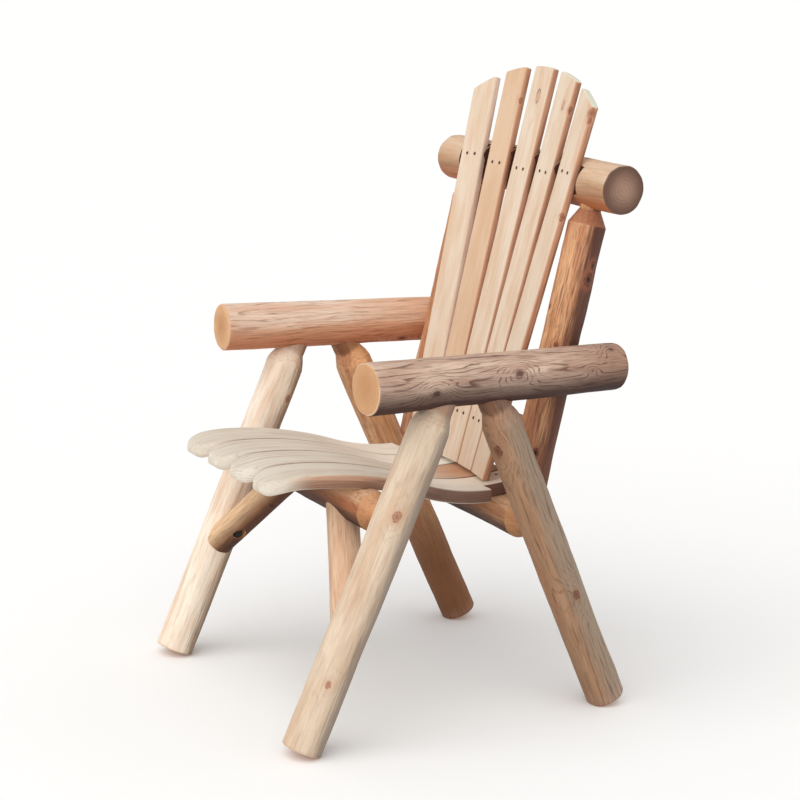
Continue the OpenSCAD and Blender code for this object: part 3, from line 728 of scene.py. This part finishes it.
def build_slat(i, look, seed, knots=()):
    origin, rot = slat_frame(i)
    rng = np.random.default_rng(seed)

    def loop(z, share):
        """Section at height z, narrowed by a share of the rounding at the top."""
        room = (z + FAN_APEX) * math.tan(math.radians(FAN_STEP)) - SLAT_GAP
        half = min(SLAT_W, room) / 2 - EASE_X * share
        inset = EASE_Y * share
        return rounded(-half, half, HEAD_PROUD + inset, SLAT_T - inset, SLAT_ROUND - inset, 20, 4)

    flat = loop(0, 0)
    theta = np.arange(len(flat)) / len(flat) * 2 * np.pi
    top = slat_top(i, flat[:, 0], flat[:, 1]) - EASE_Z
    steps = round((SLAT_DROP + SLAT_RISE) / BOARD_STEP)
    rings = []
    for k in range(steps + 1):
        v = k / steps
        flat = loop(-SLAT_DROP * (1 - v) + SLAT_RISE * v, 0)
        waver = value_noise(np.random.default_rng(seed), theta, v, 8, 14)
        moved = flat - np.stack([np.sign(flat[:, 0]) * 0.2 * (1 + waver),
                                 0.1 * (1 + waver) * np.sign(flat[:, 1] - SLAT_T / 2)], 1)
        rings.append(np.column_stack([moved, -SLAT_DROP * (1 - v) + top * v]))
    for a in (22, 45, 68, 90):
        a = math.radians(a)
        flat = loop(SLAT_RISE, 1 - math.cos(a))
        z = slat_top(i, flat[:, 0], flat[:, 1]) - EASE_Z * (1 - math.sin(a))
        rings.append(np.column_stack([flat, z]))
    middle = flat.mean(0)
    for share in (0.8, 0.6, 0.4, 0.2):
        inner = middle + (flat - middle) * share
        rings.append(np.column_stack([inner, slat_top(i, inner[:, 0], inner[:, 1])]))
    rings = cap(rings[0], 4)[::-1] + rings
    node = f"back_slat_{i}"
    verts, faces = skin(rings)
    obj = make_object(node + "_wood", origin + verts @ rot.T, faces)
    set_grain(obj, lambda p: (p - origin) @ rot)
    pith = (rng.uniform(-8, 8), 46.0)
    finish_piece(obj, node,
                 wood(node + "_look", dict(look, end_r=SLAT_END_R), seed, rot[:, 2], knots,
                      pith=pith, edge=tuple(rot[:, 0])))


def seat_point(s, depth):
    """Points (y, z) of the seat at distances s along its surface and depths under it."""
    out = np.empty(s.shape + (2,))
    for low, high, centre, radius, angle, side in (
            (-1e9, BEND_S, HOLLOW_C, HOLLOW_R, -s / HOLLOW_R, -1),
            (BEND_S, CREST_S, CREST_C, CREST_R, SEAT_SLOPE - (s - BEND_S) / CREST_R, 1),
            (CREST_S, 1e9, ROLL_C, ROLL_R, -np.minimum(s - CREST_S, ROLL_S - CREST_S) / ROLL_R, 1)):
        here = (s > low) & (s <= high)
        reach = radius - side * depth
        place = centre + reach[..., None] * np.stack([np.sin(angle), side * np.cos(angle)], -1)
        out[here] = place[here]
    over = np.maximum(s - ROLL_S, 0)[..., None]
    return out - over * np.array([math.cos(ROLL_ANGLE), math.sin(ROLL_ANGLE)])


def seat_grain(points, middle):
    """(x, depth, s) of points of a seat board."""
    yz = points[:, 1:]
    from_hollow, from_crest, from_roll = yz - HOLLOW_C, yz - CREST_C, yz - ROLL_C
    phi = np.arctan2(-from_hollow[:, 0], -from_hollow[:, 1])
    psi = np.arctan2(from_crest[:, 0], from_crest[:, 1])
    chi = np.arctan2(-from_roll[:, 0], from_roll[:, 1])
    s = np.where(phi < SEAT_SLOPE, HOLLOW_R * phi,
                 np.where(psi > 0, BEND_S + CREST_R * (SEAT_SLOPE - psi), CREST_S + ROLL_R * chi))
    depth = np.where(phi < SEAT_SLOPE, np.linalg.norm(from_hollow, axis=1) - HOLLOW_R,
                     np.where(psi > 0, CREST_R - np.linalg.norm(from_crest, axis=1),
                              ROLL_R - np.linalg.norm(from_roll, axis=1)))
    return np.stack([points[:, 0] - middle, depth, s], 1)


def build_board(i, look, seed):
    middle = (i - 2.5) * (BOARD_W + BOARD_GAP)
    half, nose_r = BOARD_W / 2, BOARD_T / 2
    nose_y = ROLL_C[0] - (ROLL_R - nose_r) * math.sin(ROLL_ANGLE) - nose_r
    front_y = nose_y - NOSE_MARGIN
    rng = np.random.default_rng(seed)
    grid = np.random.default_rng(seed + 1)

    def plan(y):
        """Half width of the board at y."""
        dip = np.clip(front_y + CORNER_R - y, 0, CORNER_R)
        return half - CORNER_R + np.sqrt(CORNER_R ** 2 - dip ** 2)

    def ring(place, low, high, corner):
        """Ring whose points lie where place puts their depths."""
        y_mid = place(np.array([nose_r]))[0, 0]
        wide = plan(y_mid)
        loop = rounded(-wide, wide, low, high, corner, 26, 5, 6)
        yz = place(loop[:, 1])
        x = middle + loop[:, 0] * plan(yz[:, 0]) / wide
        return np.column_stack([x, yz])

    def at(s):
        return lambda depth: seat_point(np.full_like(depth, s), depth)

    def rear(share):
        def place(depth):
            end = -HOLLOW_R * np.arcsin((BOARD_REAR_Y - HOLLOW_Y) / (HOLLOW_R + depth))
            return seat_point(end * share, depth)
        return place

    def ease(v):
        """Rounding of the edges, which grows towards the nose."""
        v = min(max((v - NOSE_FROM) / NOSE_OVER, 0), 1)
        return BOARD_EDGE + (NOSE_EDGE - BOARD_EDGE) * v * v * (3 - 2 * v)

    rings = [ring(rear(k / 24), HEAD_PROUD, BOARD_T, BOARD_EDGE) for k in range(24, 0, -1)]
    steps = round(ROLL_S / BOARD_STEP)
    for v in np.linspace(0, 1, steps + 1):
        face = HEAD_PROUD - (HEAD_PROUD + FILL) * min(1, 3 * v)
        rings.append(ring(at(ROLL_S * v), face, BOARD_T, ease(v)))
    for k in range(1, 9):
        a = math.radians(11 * k)
        high = nose_r * math.cos(a)
        rings.append(ring(at(ROLL_S + nose_r * math.sin(a)), nose_r - high - FILL,
                          nose_r + high, NOSE_EDGE))
    theta = np.arange(len(rings[0])) / len(rings[0]) * 2 * np.pi
    waver = value_noise(grid, theta, np.linspace(0, 1, len(rings))[:, None], 9, 16)
    rings = np.array(rings)
    rings[..., 0] -= np.sign(rings[..., 0] - middle) * 0.25 * (1 + waver)
    rings[..., 2] -= 0.05 * (1 + waver)
    node = f"seat_board_{i}"
    obj = make_object(node + "_wood", *skin(cap(rings[0], 5)[::-1] + list(rings)))
    if i in (1, 4):
        # Notch for the back post, through the whole thickness
        away = math.copysign(1, middle)
        x0, x1 = sorted((NOTCH_X * away, (NOTCH_X + PAST) * away))
        carve(obj, box_rings(np.zeros(3), np.eye(3), (x0, NOTCH_Y, 300), (x1, NOTCH_Y + 200, 500)))
    set_grain(obj, lambda p: seat_grain(p, middle))
    pith = (rng.uniform(-14, 14), rng.uniform(45, 70))
    finish_piece(obj, node,
                 wood(node + "_look", look, seed, pith=pith, edge=(1.0, 0.0, 0.0)))


# Looks: tones of wood, its lines and its ends, sizes of the rings in millimetres, and strengths.
# wander, ripple and swirl bend the rings, swirl_fall is how soon a knot lets go of them, and lean
# slants them. Along the grain, a sawn edge's tone comes in from the first place of edge_z to the
# second, and fades are (start, stop, tone, strength). The under tone is painted shade on surfaces
# that face down, and neck is painted shadow where a leg meets the armrest.

LOG = {
    "pale": (225, 205, 181), "mid": (215, 191, 165), "warm": (208, 172, 142),
    "dark": (156, 120, 96), "halo": (206, 160, 130), "knot": (172, 120, 94),
    "knot_rim": (112, 70, 52), "cone": (206, 170, 140), "cone_share": 0.15, "neck": (160, 112, 88),
    "wander": 12.0, "ripple": 3.0, "swirl": 1.6, "swirl_fall": 0.09, "spacing": 3.0, "thin": 0.55,
    "lean": 0.0, "blush": 0.6, "streak": 0.18, "ring": 0.18, "dash": 0.14, "fibre": 0.16,
    "under": 0.5, "under_shade_tone": (196, 180, 168), "relief": 0.25, "rough": 0.6, "fades": (),
    "end": (222, 186, 160), "end_core": (210, 164, 134), "end_dark": (170, 118, 92),
    "end_rim": (214, 176, 150), "rim_share": 0.5, "end_ring": 0.4, "end_spacing": 4.5}
FAR_LEG = dict(LOG, pale=(250, 236, 218), mid=(246, 226, 204), warm=(230, 196, 168))
NEAR_REAR = dict(
    LOG, pale=(198, 160, 126), mid=(182, 144, 112), warm=(186, 136, 98), dark=(100, 66, 48),
    knot=(132, 80, 60), knot_rim=(60, 38, 30), halo=(158, 110, 82), cone=(176, 124, 94),
    cone_share=0.3, neck=(112, 70, 52), streak=0.2, ring=0.5, dash=0.3, fibre=0.22, wander=16.0,
    ripple=5.0, swirl=2.8, swirl_fall=0.05, spacing=4.0, thin=0.65, lean=0.4, under=0.7,
    under_shade_tone=(180, 160, 146), relief=0.35,
    fades=((560, 640, (176, 124, 94), 0.3), (55, 0, (200, 170, 152), 0.7)))
ORANGE = dict(
    LOG, pale=(208, 154, 112), mid=(192, 134, 96), warm=(182, 112, 76), dark=(120, 72, 48),
    halo=(170, 104, 76), knot=(120, 70, 50), knot_rim=(66, 38, 30), cone=(214, 154, 118),
    cone_share=0.6, neck=(112, 66, 46), streak=0.26, ring=0.3, dash=0.3, fibre=0.24, under=0.9,
    under_shade_tone=(140, 112, 98), relief=0.32, end=(206, 158, 112), end_core=(180, 120, 78),
    end_dark=(130, 80, 50))
# The rails darken towards the end at -x with painted shadow of the seat, and their undersides with
# painted shade
RAIL = dict(
    ORANGE, pale=(198, 132, 83), mid=(176, 106, 62), warm=(158, 94, 60), dark=(88, 52, 36),
    cone=(204, 146, 100), streak=0.4, under=1.0, under_shade_tone=(84, 60, 46),
    fades=((450, 320, (104, 66, 46), 0.55),))
REAR_RAIL = dict(RAIL, pale=(228, 174, 128), mid=(208, 148, 102))
NEAR_BRACE = dict(
    ORANGE, pale=(230, 197, 166), mid=(220, 183, 152), warm=(208, 160, 128), dark=(160, 104, 76),
    under_shade_tone=(170, 140, 120))
FAR_BRACE = dict(
    RAIL, pale=(236, 178, 124), mid=(222, 160, 106), warm=(196, 124, 78), streak=0.34,
    under_shade_tone=(88, 62, 46), fades=())
# The far rear leg darkens towards its foot with painted shadow of the seat, and its foot end is paler
FAR_REAR = dict(
    ORANGE, pale=(251, 199, 146), mid=(240, 181, 130), cone_share=0.3, dash=0.4, wander=16.0,
    swirl=2.0, under=0.5, fades=((420, 150, (136, 87, 51), 0.95), (45, 0, (176, 138, 118), 0.6)))
POST = dict(
    ORANGE, pale=(232, 178, 132), mid=(216, 154, 108), warm=(184, 114, 82), dark=(96, 58, 44),
    cone=(172, 112, 80), cone_share=0.85, streak=0.55, ring=0.2, dash=0.5, fibre=0.45, wander=24.0,
    ripple=5.0, swirl=2.4, swirl_fall=0.05, spacing=5.0, thin=0.65, lean=0.4,
    under_shade_tone=(170, 140, 124), relief=0.6, fades=((230, 90, (150, 98, 74), 0.45),))
GREY = dict(
    LOG, pale=(220, 192, 170), mid=(194, 162, 143), warm=(184, 144, 122), dark=(98, 66, 54),
    halo=(142, 104, 90), knot=(96, 58, 48), knot_rim=(66, 40, 34), wander=30.0, ripple=4.0,
    swirl=4.2, swirl_fall=0.045, spacing=4.2, thin=0.64, lean=0.55, streak=0.14, ring=0.8, dash=0.4,
    fibre=0.34, under=1.0, under_shade_tone=(76, 40, 27), relief=0.4, end=(206, 158, 114),
    end_core=(192, 142, 98), end_dark=(170, 116, 78), end_rim=(228, 198, 166),
    fades=((330, 450, (158, 116, 94), 0.6),))
FAR_ARM = dict(
    ORANGE, pale=(236, 210, 190), mid=(226, 196, 173), warm=(218, 170, 141), dark=(128, 80, 56),
    streak=0.24, ring=0.5, dash=0.24, wander=26.0, ripple=6.0, swirl=3.0, swirl_fall=0.05,
    spacing=4.4, thin=0.66, lean=0.5, under=0.7, under_shade_tone=(206, 140, 92), end=(218, 172, 126),
    end_core=(196, 142, 98), fades=((190, 430, (224, 168, 130), 0.7),))
# The top rail's seats for the slats are painted dark red-brown, as shade between the slats
CREAM = dict(
    LOG, pale=(212, 182, 152), mid=(200, 164, 130), warm=(198, 146, 108), dark=(126, 88, 66),
    dash=0.2, under=0.8, under_shade_tone=(190, 150, 122), cut=(76, 34, 22), end=(98, 70, 56),
    end_core=(160, 126, 106), end_dark=(80, 56, 48), end_rim=(100, 74, 62), end_ring=0.26,
    end_spacing=6.5)
# A slat's sawn edges: orange-tan of their own, darkened towards the back by painted shade in the gaps
# between slats
SLAT = dict(
    LOG, pale=(226, 207, 186), mid=(220, 196, 171), warm=(216, 178, 146), dark=(190, 146, 112),
    halo=(200, 150, 116), knot=(160, 100, 74), knot_rim=(104, 60, 44), edge=(198, 144, 112),
    edge_back_shade=(134, 76, 52), edge_z=(-9e3, -8e3), edge_shade_fades=(), wander=7.0, ripple=1.2, swirl=0.9,
    spacing=3.2, ring=0.18, streak=0.1, dash=0.05, fibre=0.08, under=0.0, relief=0.12, rough=0.55,
    end=(216, 214, 196), end_core=(216, 214, 196), end_dark=(190, 178, 152),
    end_rim=(214, 210, 188), end_spacing=3.4)
PALE_EDGE = dict(SLAT, edge=(228, 202, 182), edge_back_shade=(196, 152, 126))
WARM_SLAT = dict(SLAT, pale=(219, 188, 158), mid=(212, 176, 144))
# Painted light: a seat board made lighter towards its rear
REAR_PAINTED_LIGHT = (220, 60, (248, 240, 226), 0.85)
# Seat boards: their sawn edges are dark with painted shade in the gaps between boards, and their
# rears darken with painted shade under the back slats
SEAT = dict(
    SLAT, pale=(224, 215, 200), mid=(217, 206, 190), warm=(208, 190, 170), dark=(166, 136, 116),
    edge=(112, 78, 60), edge_back_shade=(86, 58, 46), edge_z=(412, 340), wander=9.0, ring=0.26,
    streak=0.08, fibre=0.12, dash=0.12, fades=(REAR_PAINTED_LIGHT, (-30, -90, (208, 178, 150), 0.85)))
# Board 3 turns orange-brown towards its rear: painted shade under the back slats
TAN_BOARD = dict(SEAT, fades=((100, -40, (194, 136, 96), 0.95),), ring=0.5, spacing=4.4)
# The near board's sawn edge darkens towards the rear with painted shade
NEAR_BOARD = dict(
    SEAT, edge=(206, 163, 136), edge_back_shade=(144, 104, 82),
    edge_shade_fades=((200, 90, (92, 54, 38), 0.85),), fades=(REAR_PAINTED_LIGHT, (60, -50, (238, 206, 180), 0.6)))


# Pieces

# Each log's look, seed and roughness, then its knots as (z, angle, radius, lift, kind) and the light
# and shade painted round it as (angle, tone, strength)
LOGS = {
    "front_leg_left": (
        LOG, 11, 1.0, ((432.9, 153.7, 6.5, 1.6, "knot"), (134.2, 148.5, 4.5, 0.8, "knot"),
        (600.7, -135.7, 2.2, 0.3, "pin"), (330, 30, 6, 1.5, "knot")),
        ((-108, (156, 144, 132), 0.88),)),
    "front_leg_right": (
        FAR_LEG, 12, 1.0, ((529.2, -155.7, 5, 1.4, "knot"), (300, 40, 5, 1.2, "knot")),
        ((-97, (150, 122, 96), 0.9),)),
    "rear_leg_left": (
        NEAR_REAR, 21, 1.5, ((567.3, -63.6, 7, 2.4, "knot"), (250.4, 1.6, 6, 1.2, "knot")),
        ((40, (168, 148, 128), 0.92),)),
    "rear_leg_right": (FAR_REAR, 22, 1.5, ((420, -60, 6, 1.5, "knot"),), ()),
    "armrest_left": (
        GREY, 31, 1.2, ((110.0, -169.5, 4.5, 0.8, "knot"), (275.6, 161.4, 5, 1.4, "knot"),
        (480.1, 122.0, 4, 0.8, "knot"), (427.9, 172.1, 2.2, 0.2, "pin")), ()),
    "armrest_right": (
        FAR_ARM, 33, 1.2, ((359.8, -129.6, 5, 1.0, "hole"), (180, 60, 6, 1.0, "knot")),
        ((-120, (230, 180, 144), 0.8),)),
    "knee_brace_left": (NEAR_BRACE, 41, 1.0, (), ()),
    "knee_brace_right": (FAR_BRACE, 42, 1.0, (), ((145, (246, 206, 164), 0.9),)),
    "back_post_left": (
        POST, 51, 1.4, ((122.5, 148.1, 5, 0.6, "hole"), (434.9, -170, 8, 1.2, "hole"),
        (460.6, -165, 5, 0.8, "hole"), (375.4, 77.9, 3, 0.4, "hole"),
        (313.3, 136.4, 4, 0.6, "knot")), ((-135, (100, 60, 46), 0.95),)),
    "back_post_right": (POST, 52, 1.4, ((300, -140, 5, 0.8, "knot"),), ()),
    "front_seat_rail": (
        RAIL, 61, 1.1, ((500, 130, 5, 1.0, "knot"),), ((90, (226, 184, 146), 0.8),)),
    "rear_seat_rail": (
        REAR_RAIL, 62, 1.1, ((380, 60, 5, 1.0, "knot"),), ((90, (226, 184, 146), 0.8),)),
    "top_rail": (
        CREAM, 71, 1.0, ((448.6, 90.7, 5, 0.6, "hole"),),
        ((90, (222, 192, 164), 0.7), (-90, (222, 152, 100), 0.9))),
    "lower_back_rail": (ORANGE, 72, 1.0, (), ())}
# Looks of the slats and boards that have their own, and knots of slats as (x, y, z, radius, kind)
SLAT_LOOKS, BOARD_LOOKS = {1: PALE_EDGE, 2: WARM_SLAT}, {3: TAN_BOARD, 4: NEAR_BOARD}
SLAT_KNOTS = {2: ((28, 5, 121.5, 4, "knot"),), 3: ((2.5, 0, 133.3, 5, "oval"),),
              4: ((9.1, 0, 125.8, 3.5, "oval"), (30, 5, 119.5, 4.5, "knot")),
              5: ((29, 3, 124, 6.5, "knot"), (30, 4, 112, 4, "knot"), (30, 5, -59, 5, "knot"))}

for side, way in (("left", np.ones(3)), ("right", MIRROR)):
    for leg, foot, top in (("front_leg_", FRONT_FOOT, FRONT_TOP),
                           ("rear_leg_", REAR_FOOT, REAR_TOP)):
        build_log(leg + side, foot * way, top * way, leg_outline(foot, top), leg=True)
    arm_len = np.linalg.norm(ARM_BACK - ARM_FRONT)
    build_log("armrest_" + side, ARM_FRONT * way, ARM_BACK * way,
              sawn(ARM_R, 0, 1) + sawn(ARM_REAR_R, arm_len, -1)[::-1])
    brace_len = np.linalg.norm(BRACE_HIGH - BRACE_LOW)
    build_log("knee_brace_" + side, BRACE_LOW * way, BRACE_HIGH * way,
              [(0, BRACE_R, 0.5), (20, BRACE_R, 1), (brace_len - 20, BRACE_R, 1),
               (brace_len, BRACE_R, 0.5)], brace_ends(way), cutters=[brace_counterbore(way)])
    post_len = np.linalg.norm(POST_TOP - POST_FOOT)
    sunk = POST_AT_ARM + np.array([COUNTERBORE - POST_R, 0, 0])
    bore = round_bar(sunk * way, np.array([-1.0, 0, 0]) * way, COUNTERBORE_D, PAST)
    build_log("back_post_" + side, POST_FOOT * way, POST_TOP * way,
              tenoned(post_len, POST_R, RAIL_R + SHOULDER_GAP, TOP_RAIL_R + SHOULDER_GAP),
              cutters=[bore])

for node, end in (("front_seat_rail", FRONT_RAIL_END), ("rear_seat_rail", REAR_RAIL_END)):
    neck = LEG_R + SHOULDER_GAP
    build_log(node, end * MIRROR, end, tenoned(2 * end[0], RAIL_R, neck, neck),
              cutters=[board_bed(end[1])])

half_rail = np.array([TOP_RAIL_LEN / 2, 0, 0])
build_log("top_rail", BACK_ORIGIN - half_rail, BACK_ORIGIN + half_rail,
          sawn(TOP_RAIL_R, 0, 1) + sawn(TOP_RAIL_R, TOP_RAIL_LEN, -1)[::-1],
          cutters=slat_seats(0, TOP_RAIL_R))
lower = BACK_ORIGIN + BACK_ROT @ np.array([0, -LOWER_RAIL_SET, -LOWER_RAIL_DROP])
half_rail = np.array([POST_TOP[0], 0, 0])
neck = POST_R + SHOULDER_GAP
build_log("lower_back_rail", lower - half_rail, lower + half_rail,
          tenoned(2 * POST_TOP[0], LOWER_RAIL_R, neck, neck),
          cutters=slat_seats(-LOWER_RAIL_DROP, LOWER_RAIL_R))

for i in range(1, 6):
    build_slat(i, SLAT_LOOKS.get(i, SLAT), 80 + i, SLAT_KNOTS.get(i, ()))
for i in range(1, 5):
    build_board(i, BOARD_LOOKS.get(i, SEAT), 90 + i)

nail = metal("nail_look", (84, 56, 44), (112, 80, 62), 2.0, 0.5, 0.6)
# Zinc painted nearly black: shade in the counterbores
zinc_in_shade = metal("zinc_look", (60, 56, 54), (44, 40, 38), 3.0, 0.5, 0.8)
for node, finish in (("upper_slat_nails", nail), ("lower_slat_nails", nail),
                     ("front_seat_nails", nail), ("rear_seat_nails", nail),
                     ("brace_lag_screws", zinc_in_shade), ("post_lag_screws", zinc_in_shade), ("lag_washers", zinc_in_shade)):
    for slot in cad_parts[node].material_slots:
        slot.material = finish


# Floor, light and camera

# Half of the floor's width, so great that its edge lies at the horizon
FLOOR_HALF = 400000.0

floor_net = Net("floor_look")
floor_tone = floor_net.mix(floor_net.noise(floor_net.place_in_mm(), 900, 900), (247, 247, 247),
                           (248, 248, 247))
floor_net.put(floor_net.shader.inputs["Base Color"], floor_tone)
floor_net.shader.inputs["Roughness"].default_value = 0.9
floor_net.shader.inputs["Specular IOR Level"].default_value = 0.1
corners = np.array([[-1, -1, 0], [1, -1, 0], [1, 1, 0], [-1, 1, 0]]) * FLOOR_HALF
floor = make_object("floor", corners, [(0, 1, 2, 3)])
floor.data.materials.append(floor_net.material)

scene = bpy.context.scene
scene.view_settings.view_transform = "Standard"
world = bpy.data.worlds.new("studio")
world.use_nodes = True
sky = world.node_tree.nodes["Background"].inputs
sky["Color"].default_value, sky["Strength"].default_value = (1, 1, 1, 1), 0.66
scene.world = world

# Broad even light, as from a large soft box far away
lamp = bpy.data.lights.new("key", "SUN")
lamp.energy, lamp.angle, lamp.color = 1.95, math.radians(80), (1.0, 0.99, 0.97)
key = bpy.data.objects.new("key", lamp)
key.rotation_euler = Vector((0.36, -0.62, 0.7)).to_track_quat("Z", "Y").to_euler()
scene.collection.objects.link(key)

# The photograph's camera, as fitted: its turn, place in metres and focal length in pixels
azimuth, elevation, roll = (math.radians(v) for v in (60.6442, 12.3635, 2.2658))
CAMERA_AT, FOCAL_PX, IMAGE_PX = (3.0996, -1.7363, 1.3055), 2026.2, 800
backward = np.array([math.sin(azimuth) * math.cos(elevation),
                     -math.cos(azimuth) * math.cos(elevation), math.sin(elevation)])
right = unit(np.cross(-backward, [0, 0, 1]))
upward = np.cross(right, -backward)
pose = np.eye(4)
pose[:3, 0] = math.cos(roll) * right + math.sin(roll) * upward
pose[:3, 1] = math.cos(roll) * upward - math.sin(roll) * right
pose[:3, 2], pose[:3, 3] = backward, CAMERA_AT
camera = bpy.data.objects.new("camera", bpy.data.cameras.new("camera"))
camera.data.sensor_width, camera.data.lens = 36.0, FOCAL_PX / IMAGE_PX * 36
camera.matrix_world = Matrix(pose.tolist())
scene.collection.objects.link(camera)
scene.camera = camera
